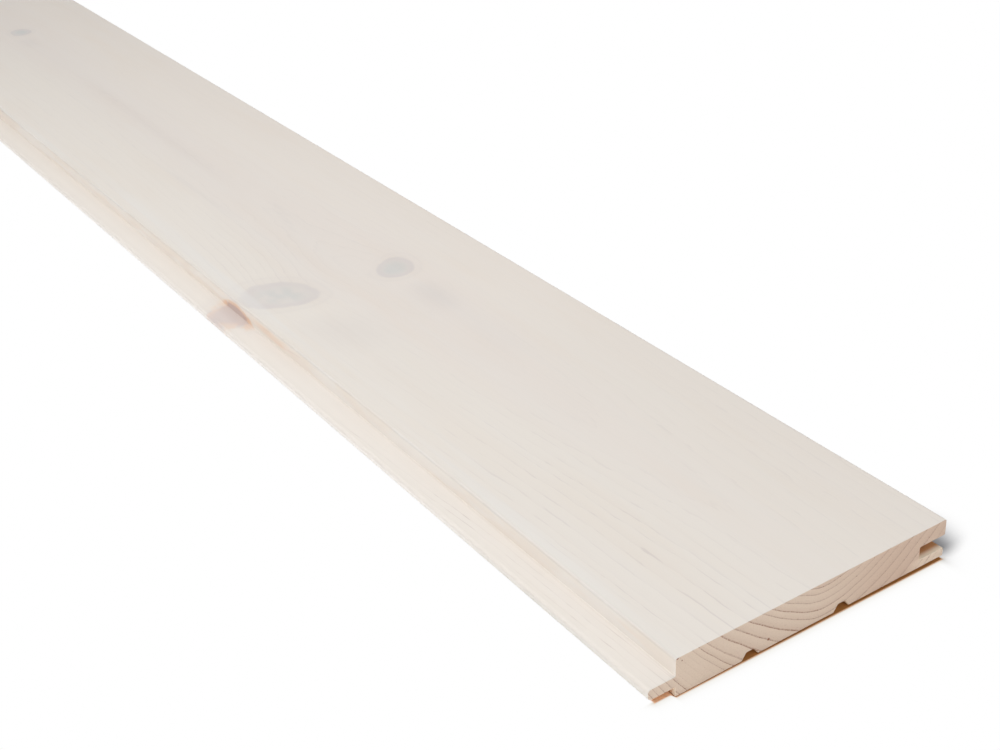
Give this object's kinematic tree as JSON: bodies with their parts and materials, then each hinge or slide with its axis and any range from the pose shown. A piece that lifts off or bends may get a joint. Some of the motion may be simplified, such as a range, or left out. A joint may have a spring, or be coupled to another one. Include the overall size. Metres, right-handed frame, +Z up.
{
  "type": "tongue and groove board",
  "caption": "Planed softwood panelling board with a tongue along one edge, a groove along the other, relief grooves along the back and a thin white glaze on the face.",
  "frame": {"origin": "middle of the board's underside", "axes": "+X along the board, +Y from the tongue towards the groove, +Z up out of the face"},
  "size_m": [1.8, 0.12, 0.014],
  "materials": {
    "glazed_pine": "planed pine with a thin matt white glaze on the face and the tongue's upper side, bare on the sawn ends, in the groove and on the back"
  },
  "bodies": {
    "root": {"board": "glazed_pine"}
  },
  "joints": []
}
